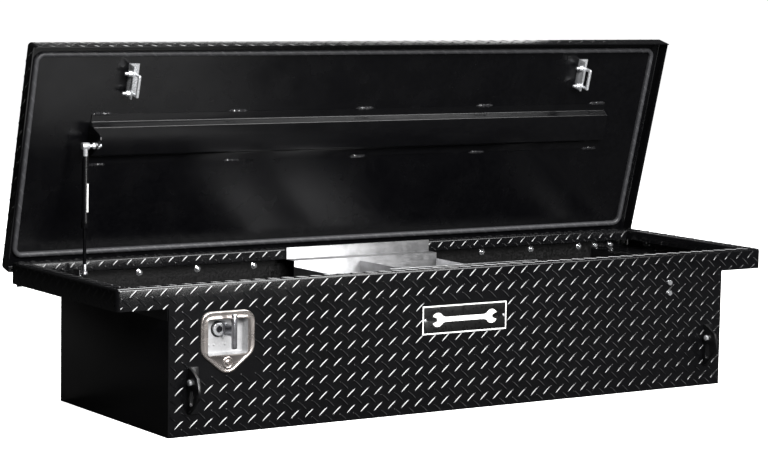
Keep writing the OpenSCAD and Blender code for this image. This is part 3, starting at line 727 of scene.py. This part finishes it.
refine("handle_hub", "handle_hub", ZINC, 1.8 * MM, 3)
refine("spindle_lever", "handle_hub", ZINC, 0.4 * MM)
refine("lock_cylinder", "lock_cylinder", CORE, 0.4 * MM)
refine("t_handle", "t_handle", GRIP, 1.0 * MM, 3)
for side in ("left", "right"):
    refine(side + "_latch_bracket", "box", ZINC, 0.6 * MM)
    refine(side + "_latch_housing", "box", ZINC, 0.4 * MM)
    refine(side + "_fork", side + "_fork", STEEL, 0.5 * MM)
    refine(side + "_pawl", side + "_pawl", STEEL, 0.5 * MM)
refine("connecting_rod", "connecting_rod", ZINC, 0.5 * MM)

# ---- gas strut ----

refine("strut_bracket", "box", FITTING, 0.5 * MM)
refine("strut_rod_end", "strut_rod", STEEL, 0.5 * MM)
refine("strut_rod", "strut_rod", ROD, 0.3 * MM)
refine("strut_tube", "strut_tube", ROD, 0.8 * MM, 3)
refine("strut_tube_end", "strut_tube", ZINC, 0.8 * MM)
refine("strut_label", "strut_tube", PAPER, 0.05 * MM, 1)

# ---- tray ----

for node, mat in (("tray_pan", ALUMINIUM), ("tray_end_walls", TRAY), ("tray_divider", TRAY)):
    refine(node, "tray", mat, 0.5 * MM)

# ---- studio ----


def camera_ray_switch(tree, hidden, seen):
    """One value for what the camera sees and another for reflections and bounces."""
    path = tree.nodes.new("ShaderNodeLightPath")
    pick = tree.nodes.new("ShaderNodeMapRange")
    pick.inputs["To Min"].default_value = hidden
    pick.inputs["To Max"].default_value = seen
    tree.links.new(path.outputs["Is Camera Ray"], pick.inputs["Value"])
    return pick.outputs["Result"]


def floor_plane():
    """Floor that looks white and stays dark in reflections."""
    bm = bmesh.new()
    bmesh.ops.create_grid(bm, x_segments=1, y_segments=1, size=40)
    mesh = bpy.data.meshes.new("floor")
    bm.to_mesh(mesh)
    bm.free()
    mat, tree, shader = material("studio_floor", (0.9, 0.9, 0.9), 0.9, spec=0.0)
    seen = camera_ray_switch(tree, 0.024, 0.95)
    tree.links.new(seen, shader.inputs["Base Color"])
    shader.inputs["Emission Color"].default_value = (1, 1, 1, 1)
    glow = camera_ray_switch(tree, 0.0, 1.0)
    tree.links.new(glow, shader.inputs["Emission Strength"])
    mesh.materials.append(mat)
    obj = bpy.data.objects.new("floor", mesh)
    bpy.context.scene.collection.objects.link(obj)


def softbox(name, at, aim, size, power, spread=180):
    """Rectangular light aimed at a point; spread in degrees narrows its beam."""
    light = bpy.data.lights.new(name, "AREA")
    light.shape = "RECTANGLE"
    light.size, light.size_y = size
    light.energy = power
    light.spread = math.radians(spread)
    obj = bpy.data.objects.new(name, light)
    obj.visible_camera = False
    obj.location = at
    obj.rotation_mode = "QUATERNION"
    obj.rotation_quaternion = (Vector(aim) - Vector(at)).to_track_quat("-Z", "Y")
    bpy.context.scene.collection.objects.link(obj)


def world():
    """White to the camera, dimmer in reflections, as in a studio with a lit backdrop."""
    w = bpy.data.worlds.new("studio")
    w.use_nodes = True
    tree = w.node_tree
    back = tree.nodes["Background"]
    back.inputs["Color"].default_value = (1, 1, 1, 1)
    tree.links.new(camera_ray_switch(tree, 0.03, 1.1), back.inputs["Strength"])
    bpy.context.scene.world = w
    bpy.context.scene.view_settings.view_transform = "Standard"


def camera():
    """Camera low in front of the box, to its left."""
    yaw, pitch, roll = 0.577504, 0.107169, -0.016856
    cam = bpy.data.cameras.new("camera")
    cam.sensor_width, cam.lens = 36.0, 118.243
    cam.clip_end = 200
    obj = bpy.data.objects.new("camera", cam)
    obj.matrix_world = (Matrix.Translation((-3.24817, -4.90313, 1.01515))
                        @ Matrix.Rotation(-yaw, 4, "Z")
                        @ Matrix.Rotation(math.pi / 2 - pitch, 4, "X")
                        @ Matrix.Rotation(-roll, 4, "Z"))
    bpy.context.scene.collection.objects.link(obj)
    bpy.context.scene.camera = obj


floor_plane()
softbox("key", (-0.9, -4.2, 2.9), (0, 0, 0.15), (2.6, 2.0), 540)
softbox("front", (0.97, -4.7, 1.25), (0, 0, 0.15), (1.1, 1.0), 115)
softbox("fill", (2.1, -2.5, 3.3), (0.2, 0, 0.3), (2.2, 1.7), 125)
softbox("top", (0.8, 0.8, 3.3), (0, 0, 0.3), (2.4, 1.4), 150)
softbox("right", (4.4, -0.9, 1.5), (0.2, 0, 0.3), (1.4, 1.4), 10)
softbox("low", (-0.25, -1.35, 0.01), (-0.25, -1.35, 1.0), (1.2, 1.3), 7, 148)
softbox("back", (1.2, 4.4, 1.6), (0, 0, 0.3), (4.5, 1.8), 60)
world()
camera()
